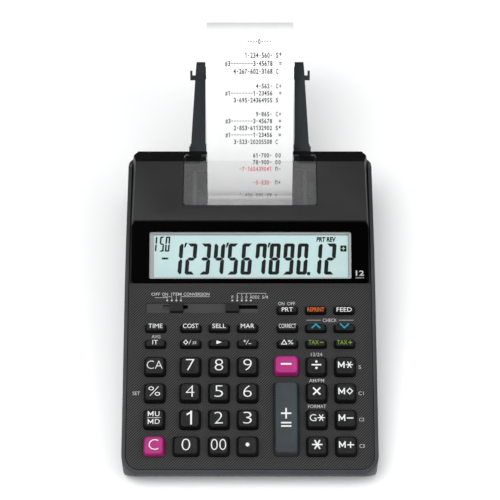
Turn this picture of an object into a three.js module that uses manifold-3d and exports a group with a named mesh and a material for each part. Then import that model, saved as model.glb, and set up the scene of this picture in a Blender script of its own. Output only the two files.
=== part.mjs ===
// Desk printing calculator: a two-part case with a sloping key panel, tilted display,
// lift-off printer cover, printer, battery door and a swinging holder for the paper roll.
// Millimetres, +Z up, the user sits on the -Y side.
import * as THREE from 'three';
import { ConvexGeometry } from 'three/addons/geometries/ConvexGeometry.js';
import { mergeVertices } from 'three/addons/utils/BufferGeometryUtils.js';
import Module from 'manifold-3d';

const wasm = await Module();
wasm.setup();

// ---- driving dimensions -------------------------------------------------------------
const HALF_WIDTH = 82.5;        // case, from its centre line to its side
const DEPTH = 224.4;            // case, front to rear
const BASE_Z = 3.5;             // underside of the case; the feet fill the gap below it
const WALL = 2.4;               // case wall
const RIM = 2.4;                // width of the rim that frames the upper case
const PANEL_T = 2.2;            // thickness of the upper case
const PANEL_TILT = 12.6;        // slope of the key panel, degrees
const PANEL_FRONT = [0, 19.0];  // where the key panel's plane meets the front, [y, z]
const DISPLAY_TILT = 21.72;     // slope of the display window, degrees
const DISPLAY_FRONT = [124.4, 46.9];
const DISPLAY_LENGTH = 40.8;
const WINDOW_T = 2.0;           // display window thickness
const COVER_T = 2.0;            // printer cover wall
const SEAT_Z = 50.2;            // level on which the printer cover stands
const KEY_GAP = 0.35;           // clearance between a key and its hole
const KEY_REACH = 4.0;          // how far a key goes below the panel's surface
const ARM_PIVOT = [220, 45];    // hinge of the roll holder, [y, z]
const ARM_ANGLE = 41;           // roll holder's rise at rest, degrees
const ROLL_DISTANCE = 62;       // hinge to the roll's centre
const ROLL_RADIUS = 20;
const PAPER_WIDTH = 57.5;
const PAPER_T = 0.4;
const PLATEN = [204, 35.4];     // feed roller's centre, [y, z]
const PLATEN_RADIUS = 5;
const CENTRE_Y = 156.5;         // half the overall depth, which puts the origin at mid-depth

// ---- key layout: [name, centre x, centre along the slope, width, length, height, colour] --
const COLUMN = [-61.3, -38.3, -19.7, -1.2, 24.8, 43.4, 62.0];
const KEY_W = 14.8;
const MAIN_ROW = (row) => 17.3 + 17.57 * row;   // row 0 is nearest the user
const MAIN_L = 14.6;
const MAIN_H = 5.8;
const SMALL_L = 6.6;
const SMALL_H = 4.4;
const BLACK = 0x2b2b2d;
const PINK = 0xb8327f;
const SLATE = 0x4a5156;

const mainKeys = [
  ['key_clear', 0, 0, PINK], ['key_double_zero', 2, 0, BLACK], ['key_point', 3, 0, BLACK],
  ['key_total', 5, 0, BLACK], ['key_memory_plus', 6, 0, BLACK],
  ['key_mark_up_down', 0, 1, BLACK], ['key_1', 1, 1, BLACK], ['key_2', 2, 1, BLACK],
  ['key_3', 3, 1, BLACK], ['key_grand_total', 5, 1, BLACK], ['key_memory_minus', 6, 1, BLACK],
  ['key_percent', 0, 2, BLACK], ['key_4', 1, 2, BLACK], ['key_5', 2, 2, BLACK],
  ['key_6', 3, 2, BLACK], ['key_times', 5, 2, BLACK], ['key_memory_subtotal', 6, 2, BLACK],
  ['key_clear_all', 0, 3, BLACK], ['key_7', 1, 3, BLACK], ['key_8', 2, 3, BLACK],
  ['key_9', 3, 3, BLACK], ['key_divide', 5, 3, BLACK], ['key_memory_total', 6, 3, BLACK],
];
const smallRows = [
  { along: 85.6, columns: [0, 1, 2, 3, 4, 5, 6],
    names: ['key_items', 'key_non_add', 'key_right_shift', 'key_sign', 'key_delta_percent',
      'key_tax_minus', 'key_tax_plus'] },
  { along: 96.3, columns: [0, 1, 2, 3, 4, 5, 6],
    names: ['key_time', 'key_cost', 'key_sell', 'key_margin', 'key_correct', 'key_check_up',
      'key_check_down'] },
  { along: 108.6, columns: [4, 5, 6], names: ['key_print', 'key_reprint', 'key_feed'] },
];

const keys = [];
for (const [name, column, row, colour] of mainKeys) {
  keys.push({ name, x: COLUMN[column], s: MAIN_ROW(row), w: KEY_W, l: MAIN_L, h: MAIN_H, colour });
}
for (const row of smallRows) {
  row.names.forEach((name, i) => {
    const x = COLUMN[row.columns[i]];
    keys.push({ name, x, s: row.along, w: KEY_W, l: SMALL_L, h: SMALL_H, colour: BLACK });
  });
}
keys.push({ name: 'key_0', x: -40.2, s: MAIN_ROW(0), w: 18.9, l: MAIN_L, h: MAIN_H, colour: BLACK });
keys.push({ name: 'key_minus', x: 23.8, s: 70.6, w: 16.4, l: 14.0, h: MAIN_H, colour: PINK });
keys.push({ name: 'key_plus_equals', x: 23.6, s: 35.6, w: 16.4, l: 49.4, h: MAIN_H, colour: SLATE });

// ---- slide switches: [name, centre x, slot from, slot to] -----------------------------
const SWITCH_S = 110.3;
const switches = [
  { name: 'slide_switch_left', x: -48.2, slot: [-57.0, -40.9] },
  { name: 'slide_switch_right', x: -11.6, slot: [-14.4, 4.9] },
];

// ---- helpers --------------------------------------------------------------------------
const rad = THREE.MathUtils.degToRad;

function shapeOf(points) {
  return new THREE.Shape(points.map(([a, b]) => new THREE.Vector2(a, b)));
}

// A (y, z) outline swept along X from x0 to x1.
function sweepX(points, x0, x1) {
  const geometry = new THREE.ExtrudeGeometry(shapeOf(points), { depth: x1 - x0, bevelEnabled: false });
  const turn = new THREE.Matrix4().set(0, 0, 1, x0, 1, 0, 0, 0, 0, 1, 0, 0, 0, 0, 0, 1);
  return geometry.applyMatrix4(turn);
}

// A plan outline (x, y) raised from z0 to z1.
function raise(shape, z0, z1) {
  const options = { depth: z1 - z0, bevelEnabled: false, curveSegments: 5 };
  return new THREE.ExtrudeGeometry(shape, options).translate(0, 0, z0);
}

function roundedPlan(x0, x1, y0, y1, frontRadius, rearRadius) {
  const shape = new THREE.Shape();
  shape.moveTo(x0 + frontRadius, y0);
  shape.lineTo(x1 - frontRadius, y0);
  shape.absarc(x1 - frontRadius, y0 + frontRadius, frontRadius, -Math.PI / 2, 0);
  shape.lineTo(x1, y1 - rearRadius);
  shape.absarc(x1 - rearRadius, y1 - rearRadius, rearRadius, 0, Math.PI / 2);
  shape.lineTo(x0 + rearRadius, y1);
  shape.absarc(x0 + rearRadius, y1 - rearRadius, rearRadius, Math.PI / 2, Math.PI);
  shape.lineTo(x0, y0 + frontRadius);
  shape.absarc(x0 + frontRadius, y0 + frontRadius, frontRadius, Math.PI, 1.5 * Math.PI);
  return shape;
}

function box(x0, x1, y0, y1, z0, z1) {
  const geometry = new THREE.BoxGeometry(x1 - x0, y1 - y0, z1 - z0);
  return geometry.translate((x0 + x1) / 2, (y0 + y1) / 2, (z0 + z1) / 2);
}

// A cylinder along X.
function rod(x0, x1, y, z, radius, sides = 20) {
  const geometry = new THREE.CylinderGeometry(radius, radius, x1 - x0, sides);
  geometry.rotateZ(Math.PI / 2);
  return geometry.translate((x0 + x1) / 2, y, z);
}

// Moves a geometry drawn as (x, along, out) onto a plane that rises to the rear.
function onSlope(geometry, [y, z], tilt) {
  geometry.rotateX(rad(tilt));
  return geometry.translate(0, y, z);
}
const onPanel = (geometry) => onSlope(geometry, PANEL_FRONT, PANEL_TILT);
const onDisplay = (geometry) => onSlope(geometry, DISPLAY_FRONT, DISPLAY_TILT);

function toManifold(geometry) {
  const plain = geometry.clone();
  plain.deleteAttribute('normal');
  plain.deleteAttribute('uv');
  const merged = mergeVertices(plain, 1e-4);
  return new wasm.Manifold(new wasm.Mesh({
    numProp: 3,
    vertProperties: new Float32Array(merged.attributes.position.array),
    triVerts: new Uint32Array(merged.index.array),
  }));
}

function fromManifold(manifold) {
  const mesh = manifold.getMesh();
  const corners = new THREE.BufferAttribute(new Float32Array(mesh.vertProperties), 3);
  const geometry = new THREE.BufferGeometry();
  geometry.setAttribute('position', corners);
  geometry.setIndex(new THREE.BufferAttribute(new Uint32Array(mesh.triVerts), 1));
  return geometry;
}

const join = (...parts) => parts.map(toManifold).reduce((a, b) => a.add(b));
const cut = (manifold, ...tools) => tools.map(toManifold).reduce((a, b) => a.subtract(b), manifold);

const product = new THREE.Group();
product.name = 'desk_printing_calculator';

function addPiece(name, geometry, color, roughness, metalness = 0) {
  const shape = geometry instanceof THREE.BufferGeometry ? geometry : fromManifold(geometry);
  shape.translate(0, -CENTRE_Y, 0);
  shape.computeVertexNormals();
  const mesh = new THREE.Mesh(shape, new THREE.MeshStandardMaterial({ color, roughness, metalness }));
  mesh.name = name;
  product.add(mesh);
}

// ---- case profile: the rim's height from front to rear --------------------------------
const slopeZ = (y, [y0, z0], tilt) => z0 + (y - y0) * Math.tan(rad(tilt));
const panelZ = (y) => slopeZ(y, PANEL_FRONT, PANEL_TILT);
const rimLine = [
  [0, panelZ(0)], [123.9, 46.8], [149, 50.3], [186, 52.2], [212, 53.1], [216.6, 49.9], [DEPTH, 46.5],
];

// ---- lower case -------------------------------------------------------------------------
const rearFirst = (line) => [...line].reverse();
const caseOutline = [[6.5, BASE_Z], [DEPTH - 2, BASE_Z], [DEPTH, 8], ...rearFirst(rimLine), [0, 14.5]];
let lowerCase = toManifold(sweepX(caseOutline, -HALF_WIDTH, HALF_WIDTH));
lowerCase = lowerCase.intersect(toManifold(
  raise(roundedPlan(-HALF_WIDTH, HALF_WIDTH, 0, DEPTH, 11.5, 9), 0, 60)));
const insideOutline = [
  [6.5 + WALL, BASE_Z + WALL], [DEPTH - WALL, BASE_Z + WALL], [DEPTH - WALL, 60], [WALL, 60], [WALL, 14.5],
];
const insidePlan = roundedPlan(-HALF_WIDTH + RIM, HALF_WIDTH - RIM, WALL, DEPTH - WALL, 9.1, 6.6);
const inside = toManifold(sweepX(insideOutline, -HALF_WIDTH + RIM, HALF_WIDTH - RIM))
  .intersect(toManifold(raise(insidePlan, 0, 61)));
lowerCase = lowerCase.subtract(inside);

// Battery bay: a box that opens downwards, closed by the sliding door.
const BAY = { x: 31, y0: 66, y1: 120, roof: 20.5 };
lowerCase = lowerCase.add(toManifold(
  box(-BAY.x - 2, BAY.x + 2, BAY.y0 - 2, BAY.y1 + 2, BASE_Z, BAY.roof + 2)));
lowerCase = cut(lowerCase, box(-BAY.x, BAY.x, BAY.y0, BAY.y1, 0, BAY.roof));

// Feet.
for (const x of [-64, 64]) {
  for (const y of [24, 200]) {
    const foot = new THREE.CylinderGeometry(6, 6.4, BASE_Z + 0.6, 20).rotateX(Math.PI / 2);
    lowerCase = lowerCase.add(toManifold(foot.translate(x, y, (BASE_Z + 0.6) / 2)));
  }
}

// Hinge cheeks for the roll holder, with holes for its pins.
const PIN_R = 1.6;
for (const side of [-1, 1]) {
  for (const [near, far, low] of [[27.4, 29.5, 42.8], [44.3, 46.6, 30]]) {
    const [x0, x1] = side < 0 ? [-far, -near] : [near, far];
    lowerCase = lowerCase.add(toManifold(box(x0, x1, 214, DEPTH - WALL + 0.5, low, 47.7)));
    lowerCase = cut(lowerCase, rod(x0 - 1, x1 + 1, ...ARM_PIVOT, PIN_R + 0.12, 16));
  }
  const [a, b] = side < 0 ? [-44.3, -29.5] : [29.5, 44.3];
  lowerCase = cut(lowerCase, box(a, b, DEPTH - 6, DEPTH + 3, 39, 60));
}
// Paper inlet slot and power inlet, both through the rear wall.
lowerCase = cut(lowerCase,
  box(-29.4, 29.4, DEPTH - WALL - 1, DEPTH + 2, 33, 42.7),
  new THREE.CylinderGeometry(4.6, 4.6, 8, 20).translate(60, DEPTH - 1, 22));
addPiece('lower_case', lowerCase, 0x3a4043, 0.45);

// ---- upper case -------------------------------------------------------------------------
const INSET = RIM + 0.35;
const HOUSING_REAR = 163.4;
const panelRear = [124.2, panelZ(124.2)];
const plateOutline = [
  [2.7, panelZ(2.7)], panelRear, [150, SEAT_Z - 0.6], [170, SEAT_Z], [DEPTH - INSET - 0.1, SEAT_Z],
];
const plateBand = [...plateOutline, ...rearFirst(plateOutline.map(([y, z]) => [y, z - PANEL_T]))];
let upperCase = toManifold(sweepX(plateBand.reverse(), -HALF_WIDTH + INSET, HALF_WIDTH - INSET));

// Raised housing for the display: a wedge with a hollow underside.
const display = (along, out) => {
  const c = Math.cos(rad(DISPLAY_TILT));
  const s = Math.sin(rad(DISPLAY_TILT));
  return [DISPLAY_FRONT[0] + along * c - out * s, DISPLAY_FRONT[1] + along * s + out * c];
};
const housingOutline = [
  [124.2, 43.4], [HOUSING_REAR, 46.8], [HOUSING_REAR, 61.5], display(DISPLAY_LENGTH - 0.2, -WINDOW_T),
  display(0.6, -WINDOW_T),
];
const hollowTop = display(DISPLAY_LENGTH - 3.4, -WINDOW_T - PANEL_T);
const hollowOutline = [
  [128.4, 40], [hollowTop[0], 40], hollowTop, display(4.6, -WINDOW_T - PANEL_T),
];
upperCase = upperCase.add(toManifold(sweepX(housingOutline, -77.6, 77.6)));
upperCase = cut(upperCase,
  sweepX(hollowOutline, -75.4, 75.4),
  onDisplay(box(-78.5, 78.5, -0.05, DISPLAY_LENGTH + 0.3, -WINDOW_T, 8)));
upperCase = upperCase.intersect(toManifold(
  raise(roundedPlan(-HALF_WIDTH + INSET, HALF_WIDTH - INSET, INSET, DEPTH - INSET, 8.7, 6.2), 0, 70)));

// Openings: display, printer bay, roll holder clearance.
const BAY_FRONT = 166.2;
upperCase = cut(upperCase,
  onDisplay(box(-66.6, 66.9, 2.9, 34.5, -8, 2)),
  box(-70, 70, BAY_FRONT, 210.5, 40, 60),
  box(-44.2, -29.4, 215, DEPTH + 1, 38, 60),
  box(29.4, 44.2, 215, DEPTH + 1, 38, 60));

// Key holes, the shallow trough of the slide switches and their slots.
for (const { x, s, w, l } of keys) {
  const hw = w / 2 + KEY_GAP;
  const hl = l / 2 + KEY_GAP;
  upperCase = cut(upperCase, onPanel(box(x - hw, x + hw, s - hl, s + hl, -PANEL_T - 2, 2)));
}
upperCase = cut(upperCase, onPanel(box(-68.2, 5.6, 107.1, 113.9, -1.1, 2)));
for (const { slot } of switches) {
  upperCase = cut(upperCase, onPanel(box(slot[0], slot[1], 110.2, 112.6, -PANEL_T - 2, 2)));
}
addPiece('upper_case', upperCase, 0x3a3a3b, 0.7);

// ---- display ----------------------------------------------------------------------------
const windowPlan = roundedPlan(-78.2, 78.2, 0.1, DISPLAY_LENGTH, 2.2, 3.2);
addPiece('display_window', onDisplay(raise(windowPlan, -WINDOW_T + 0.04, 0)), 0x0b0b0d, 0.08);
const lcdDepth = -WINDOW_T - PANEL_T;
let lcd = toManifold(onDisplay(box(-66.3, 66.6, 3.2, 34.2, lcdDepth - 0.4, -WINDOW_T - 0.3)));
lcd = lcd.add(toManifold(onDisplay(box(-70, 70, 5.4, 35.6, lcdDepth - 3.2, lcdDepth - 0.06))));
addPiece('lcd_panel', lcd, 0xcfe6e4, 0.25);

// ---- keys -------------------------------------------------------------------------------
// One outline of a key at a given height: a rectangle with two-step rounded corners.
function keyRing(x, s, w, l, r, n) {
  const ring = [];
  for (const [sx, sy] of [[1, 1], [-1, 1], [-1, -1], [1, -1]]) {
    for (const [cx, cy] of [[r, 0], [r * 0.29, r * 0.29], [0, r]]) {
      ring.push(new THREE.Vector3(x + sx * (w / 2 - cx), s + sy * (l / 2 - cy), n));
    }
  }
  return ring;
}

for (const { name, x, s, w, l, h, colour } of keys) {
  const back = l < 10 ? 0.3 : 0.9;      // the top face sits a little towards the rear
  const topL = l < 10 ? l - 1.5 : l - 3.4;
  const points = [
    ...keyRing(x, s, w, l, 1.2, -KEY_REACH),
    ...keyRing(x, s, w, l, 1.2, 1.0),
    ...keyRing(x, s + back, w - 1.8, topL, 1.1, h),
  ];
  addPiece(name, onPanel(new ConvexGeometry(points)), colour, 0.5);
}

// ---- slide switches ---------------------------------------------------------------------
for (const { name, x } of switches) {
  const knob = onPanel(box(x - 4.35, x + 4.35, SWITCH_S - 2.9, SWITCH_S + 2.9, -0.8, 3.2));
  const stem = onPanel(box(x - 2.2, x + 2.2, 110.5, 112.3, -5.2, 0));
  addPiece(name, join(knob, stem), 0x1a1a1b, 0.55);
}

// ---- circuit board ----------------------------------------------------------------------
const boardPlan = roundedPlan(-74, 74, 9, 121, 2, 2);
addPiece('circuit_board', onPanel(raise(boardPlan, -9.4, -7.8)), 0x1f5a34, 0.55);

// ---- printer ----------------------------------------------------------------------------
const FRAME_X = 38.5;
let frame = join(
  box(-FRAME_X, FRAME_X, 170, 209.8, 22, 24),
  box(-FRAME_X, -FRAME_X + 2.4, 170, 209.8, 22, 52),
  box(FRAME_X - 2.4, FRAME_X, 170, 209.8, 22, 52),
  box(-FRAME_X, FRAME_X, 172, 174.4, 22, 44),
  box(-FRAME_X, FRAME_X, 182.5, 190, 22, 34));
const INK = [180, 46];
const INK_RADIUS = 6;
frame = cut(frame,
  rod(-FRAME_X - 1, FRAME_X + 1, ...PLATEN, 1.6, 16),
  rod(-FRAME_X - 1, FRAME_X + 1, ...INK, 1.6, 16));
addPiece('printer_frame', frame, 0x50565c, 0.5);
for (const [name, centre, radius, colour] of [
  ['feed_roller', PLATEN, PLATEN_RADIUS, 0x222222],
  ['ink_roller', INK, INK_RADIUS, 0x2a1f4a],
]) {
  const roller = join(
    rod(-30.5, 30.5, ...centre, radius, 24),
    rod(-FRAME_X - 0.6, FRAME_X + 0.6, ...centre, 1.5, 16));
  addPiece(name, roller, colour, 0.8);
}

// ---- printer cover and its clear cutter window ----------------------------------------------
const COVER_FRONT = 163.7;
const COVER_FRONT_Z = 62.3;
const CREST = [208, 66];
const COVER_REAR = [DEPTH - 0.2, 53.8];
const coverHalf = (z) => 79.0 - (z - 54) * 0.18;
const coverProfile = (grow) => [
  [COVER_FRONT - grow, SEAT_Z + 0.1],
  [COVER_FRONT - grow, COVER_FRONT_Z + grow],
  [CREST[0] + grow * 0.4, CREST[1] + grow],
  [COVER_REAR[0] + grow, COVER_REAR[1] + grow * 0.4],
  [COVER_REAR[0] + grow, SEAT_Z + 0.1],
];
// The cover's solid form; a negative grow gives the hollow inside it.
function coverForm(grow, floor) {
  const points = [];
  for (const [y, z] of coverProfile(grow)) {
    const height = z < SEAT_Z + 1 ? floor : z;
    const half = coverHalf(Math.max(height, SEAT_Z)) + grow;
    const corner = y > 215 ? 3 : 0.6;
    for (const side of [-1, 1]) {
      points.push(new THREE.Vector3(side * (half - corner), y, height));
      points.push(new THREE.Vector3(side * half, y + (y > 190 ? -corner : corner), height));
    }
  }
  return toManifold(new ConvexGeometry(points));
}
let cover = coverForm(0, SEAT_Z + 0.1).subtract(coverForm(-COVER_T, SEAT_Z - 6));
// Height at y on the straight line from one [y, z] point to another.
const lineZ = (y, [ya, za], [yb, zb]) => za + ((y - ya) * (zb - za)) / (yb - ya);
const coverTop = (y) => lineZ(y, [COVER_FRONT, COVER_FRONT_Z], CREST);
const slopeAt = (y) => lineZ(y, CREST, COVER_REAR);
const WINDOW_X = 44.4;
const WINDOW_FRONT = 175.2;
const WINDOW_REAR = 222.0;
// A band of the cover's outer surface between two y values, from `top` down to `bottom` below it.
const skinBand = (y0, y1, top, bottom) => [
  [y0, coverTop(y0) - bottom], [CREST[0], CREST[1] - bottom], [y1, slopeAt(y1) - bottom * 1.25],
  [y1, slopeAt(y1) - top * 1.25], [CREST[0], CREST[1] - top], [y0, coverTop(y0) - top],
];
cover = cut(cover, sweepX(skinBand(WINDOW_FRONT - 0.35, WINDOW_REAR + 0.35, -6, 8),
  -WINDOW_X - 0.35, WINDOW_X + 0.35));
// Clearance over the roll holder's arms.
cover = cut(cover,
  box(-44.2, -29.4, DEPTH - 4, DEPTH + 1, 45, 52.4),
  box(29.4, 44.2, DEPTH - 4, DEPTH + 1, 45, 52.4));
addPiece('printer_cover', cover, 0x383838, 0.6);

let cutter = join(
  sweepX(skinBand(WINDOW_FRONT, WINDOW_REAR, 0, 2.0), -WINDOW_X, WINDOW_X),
  sweepX(skinBand(WINDOW_FRONT - 1.8, WINDOW_REAR - 2.4, 2.7, 3.7), -WINDOW_X - 1.8, WINDOW_X + 1.8),
  sweepX(skinBand(WINDOW_FRONT, WINDOW_REAR - 2.4, 1.0, 3.0), -WINDOW_X, WINDOW_X));
cutter = cut(cutter, box(-33, 33, CREST[0] + 0.2, WINDOW_REAR - 1.4, 45, 70));
addPiece('cutter_window', cutter, 0x5c6062, 0.2);

// ---- paper: around the feed roller, out of the cover and over in an arc -------------------------
const paperPath = [
  [215.0, 35.6], [210.5, 31.6], [207.0, 29.9], [203.6, 29.3], [200.4, 30.7], [198.6, 33.2], [198.2, 36.2],
  [199.4, 42.0], [203.2, 50.4], [207.2, 58.8], [210.8, 66.5], [214.6, 75.0], [218.8, 84.0], [223.0, 93.2],
  [227.2, 102.6], [231.4, 112.0], [235.8, 121.2], [241.0, 129.6], [248.0, 136.0], [256.6, 138.8],
  [265.4, 137.2], [273.0, 132.0], [280.0, 124.4], [287.0, 115.0], [294.0, 104.0], [300.4, 92.4],
  [306.0, 80.6], [310.2, 69.4], [312.8, 58.4],
];
function stripOutline(path, thickness) {
  const left = [];
  const right = [];
  path.forEach(([y, z], i) => {
    const [ya, za] = path[Math.max(i - 1, 0)];
    const [yb, zb] = path[Math.min(i + 1, path.length - 1)];
    const length = Math.hypot(yb - ya, zb - za);
    const ny = (-(zb - za) / length) * (thickness / 2);
    const nz = ((yb - ya) / length) * (thickness / 2);
    left.push([y + ny, z + nz]);
    right.push([y - ny, z - nz]);
  });
  return [...left, ...rearFirst(right)];
}
addPiece('paper_strip',
  sweepX(stripOutline(paperPath, PAPER_T), -PAPER_WIDTH / 2, PAPER_WIDTH / 2), 0xf4f3f1, 0.9);

// ---- roll holder ----------------------------------------------------------------------------------
// A point `along` the arm and `up` from it, seen from the side.
const armPoint = (along, up) => {
  const c = Math.cos(rad(ARM_ANGLE));
  const s = Math.sin(rad(ARM_ANGLE));
  return [ARM_PIVOT[0] + along * c - up * s, ARM_PIVOT[1] + along * s + up * c];
};
const ARM_LENGTH = 69.5;
const armSide = [
  armPoint(-3.2, -1.6), armPoint(0, -3.2), armPoint(8, -2.8), armPoint(ARM_LENGTH - 9, -2.9),
  armPoint(ARM_LENGTH - 2, -2.2), armPoint(ARM_LENGTH, 0), armPoint(ARM_LENGTH - 2, 2.2),
  armPoint(ARM_LENGTH - 9, 2.6), armPoint(8, 2.4), armPoint(0, 3.0), armPoint(-3.2, 1.6),
];
const rollCentre = armPoint(ROLL_DISTANCE, 0);
for (const [name, side] of [['roll_arm_left', -1], ['roll_arm_right', 1]]) {
  const between = (a, b) => (side < 0 ? [-b, -a] : [a, b]);
  const taper = new THREE.BufferGeometry();
  taper.copy(sweepX(armSide, ...between(30.3, 40.6)));
  // The outer face closes in towards the tip.
  const position = taper.attributes.position;
  for (let i = 0; i < position.count; i += 1) {
    const along = (position.getY(i) - ARM_PIVOT[0]) / Math.cos(rad(ARM_ANGLE));
    if (Math.abs(position.getX(i)) > 35) {
      position.setX(i, side * (40.6 - 4.4 * THREE.MathUtils.clamp((along - 8) / (ARM_LENGTH - 8), 0, 1)));
    }
  }
  // A bar of the arm from one place along it to another, between two heights.
  const armBar = (from, to, low, high, inner, outer) => sweepX(
    [armPoint(from, low), armPoint(to, low), armPoint(to, high), armPoint(from, high)],
    ...between(inner, outer));
  const foot = armBar(-3.0, 5.5, -2.8, 2.6, 29.9, 43.9);
  const shoulder = armBar(5, 11.8, -2.7, 2.5, 29.9, 41.5);
  const shoulderTip = armBar(11, 13.4, -2.6, 2.4, 29.9, 40.7);
  const hingePin = rod(...between(28.0, 45.8), ...ARM_PIVOT, PIN_R, 16);
  const rollPin = rod(...between(26.6, 31), ...rollCentre, 4.4, 20);
  const hookBar = armBar(57.2, 60.4, -1.4, 1.4, 35, 40.6);
  const hookProng = armBar(57.2, 63.6, -1.4, 1.4, 39.1, 40.6);
  const arm = join(taper, foot, shoulder, shoulderTip, hingePin, rollPin, hookBar, hookProng);
  addPiece(name, arm, 0x3c4346, 0.45);
}
const rollDisc = rod(-PAPER_WIDTH / 2, PAPER_WIDTH / 2, ...rollCentre, ROLL_RADIUS, 40);
const rollCore = rod(-PAPER_WIDTH / 2 - 1, PAPER_WIDTH / 2 + 1, ...rollCentre, 6, 24);
addPiece('paper_roll', cut(toManifold(rollDisc), rollCore), 0xf2f1ee, 0.9);

// ---- battery door ------------------------------------------------------------------------------------
const doorPlan = roundedPlan(-BAY.x - 3, BAY.x + 3, BAY.y0 - 3, BAY.y1 + 3, 2.5, 2.5);
let door = toManifold(raise(doorPlan, 1.6, BASE_Z - 0.05));
for (let i = 0; i < 3; i += 1) {
  door = cut(door, box(-9, 9, BAY.y0 + 2 + 2.4 * i, BAY.y0 + 3.1 + 2.4 * i, 1, 2.1));
}
addPiece('battery_door', door, 0x34393c, 0.5);

export default product;
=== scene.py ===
# Desk printing calculator: the looks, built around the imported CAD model.
import math

import bmesh
import bpy
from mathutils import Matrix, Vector


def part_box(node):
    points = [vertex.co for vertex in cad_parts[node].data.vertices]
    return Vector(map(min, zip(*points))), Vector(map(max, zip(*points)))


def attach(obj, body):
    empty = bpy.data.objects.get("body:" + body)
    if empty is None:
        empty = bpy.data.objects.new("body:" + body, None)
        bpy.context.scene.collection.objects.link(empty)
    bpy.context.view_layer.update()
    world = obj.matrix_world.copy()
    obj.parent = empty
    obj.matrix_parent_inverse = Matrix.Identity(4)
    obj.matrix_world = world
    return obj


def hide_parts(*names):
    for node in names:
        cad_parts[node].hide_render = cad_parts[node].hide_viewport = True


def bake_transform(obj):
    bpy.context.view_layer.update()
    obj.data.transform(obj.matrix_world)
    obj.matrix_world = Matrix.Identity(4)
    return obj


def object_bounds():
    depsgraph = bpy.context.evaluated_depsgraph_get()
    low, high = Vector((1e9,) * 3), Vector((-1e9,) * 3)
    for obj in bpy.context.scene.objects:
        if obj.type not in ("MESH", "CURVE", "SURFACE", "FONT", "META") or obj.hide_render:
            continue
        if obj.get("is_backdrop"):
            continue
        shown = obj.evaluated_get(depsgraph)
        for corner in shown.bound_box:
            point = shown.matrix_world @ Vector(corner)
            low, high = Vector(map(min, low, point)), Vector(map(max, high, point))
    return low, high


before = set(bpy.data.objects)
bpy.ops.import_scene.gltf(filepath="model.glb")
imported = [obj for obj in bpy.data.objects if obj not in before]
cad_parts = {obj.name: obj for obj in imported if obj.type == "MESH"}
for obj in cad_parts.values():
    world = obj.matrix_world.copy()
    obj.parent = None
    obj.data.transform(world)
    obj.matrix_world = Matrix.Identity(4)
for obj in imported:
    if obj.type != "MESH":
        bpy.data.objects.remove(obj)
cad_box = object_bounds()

# ---- driving dimensions (millimetres and degrees; drawn lengths are from the case's front) ----
MM = 0.001
CASE_FRONT_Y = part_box("lower_case")[0].y
PANEL_TILT = 12.6
PANEL_FRONT = (0.0, 19.0)
DISPLAY_TILT = 21.72
DISPLAY_FRONT = (124.4, 46.9)
DISPLAY_LENGTH = 40.8
COVER_FRONT = (163.7, 62.3)
CREST = (208.0, 66.0)
COVER_REAR = (224.2, 53.8)
ARM_PIVOT = (220.0, 45.0)
ARM_ANGLE = 41.0
ROLL_DISTANCE = 62.0        # from the arms' pivot to the roll's axis
ROLL_RADIUS = 20.0
PAPER_WIDTH = 57.5
PAPER_THICK = 0.14

CAMERA_RISE = 59.0          # degrees above the horizon
CAMERA_PLACE = (0.0, -0.6869, 1.1791)
CAMERA_LENS = 142.85


class Slope:
    """A plane that rises to the rear: x across, along up the slope, out along its normal."""

    def __init__(self, front, tilt):
        turn = math.radians(tilt)
        self.origin = Vector((0, CASE_FRONT_Y + front[0] * MM, front[1] * MM))
        self.up_slope = Vector((0, math.cos(turn), math.sin(turn)))
        self.normal = Vector((0, -math.sin(turn), math.cos(turn)))

    def at(self, x, along, out=0.0):
        offset = self.up_slope * (along * MM) + self.normal * (out * MM)
        return self.origin + offset + Vector((x * MM, 0, 0))

    def read(self, point):
        offset = Vector(point) - self.origin
        return offset.x / MM, offset.dot(self.up_slope) / MM, offset.dot(self.normal) / MM


PANEL = Slope(PANEL_FRONT, PANEL_TILT)
DISPLAY = Slope(DISPLAY_FRONT, DISPLAY_TILT)


def place(x, y, z):
    """A point in millimetres, y from the case's front."""
    return Vector((x * MM, CASE_FRONT_Y + y * MM, z * MM))


def shifted(surface, x, y):
    """The same surface with its origin moved to (x, y)."""
    return lambda a, b, c: surface(x + a, y + b, c)


def along_x(y, z):
    """A surface whose third axis is the machine's X, about the line at (y, z)."""
    return lambda a, b, c: place(c, y + a, z + b)


def extent(points):
    """The lowest and highest value on each axis."""
    return [(min(values), max(values)) for values in zip(*points)]


def panel_points(node):
    """A CAD node's corners, read on the key panel's plane."""
    return [PANEL.read(v.co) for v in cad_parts[node].data.vertices]


def add_object(name, data):
    made = bpy.data.objects.new(name, data)
    bpy.context.scene.collection.objects.link(made)
    return made


# ---- node trees ----
def scaled(colour, factor):
    return (*(min(channel * factor, 1.0) for channel in colour), 1.0)


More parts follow.
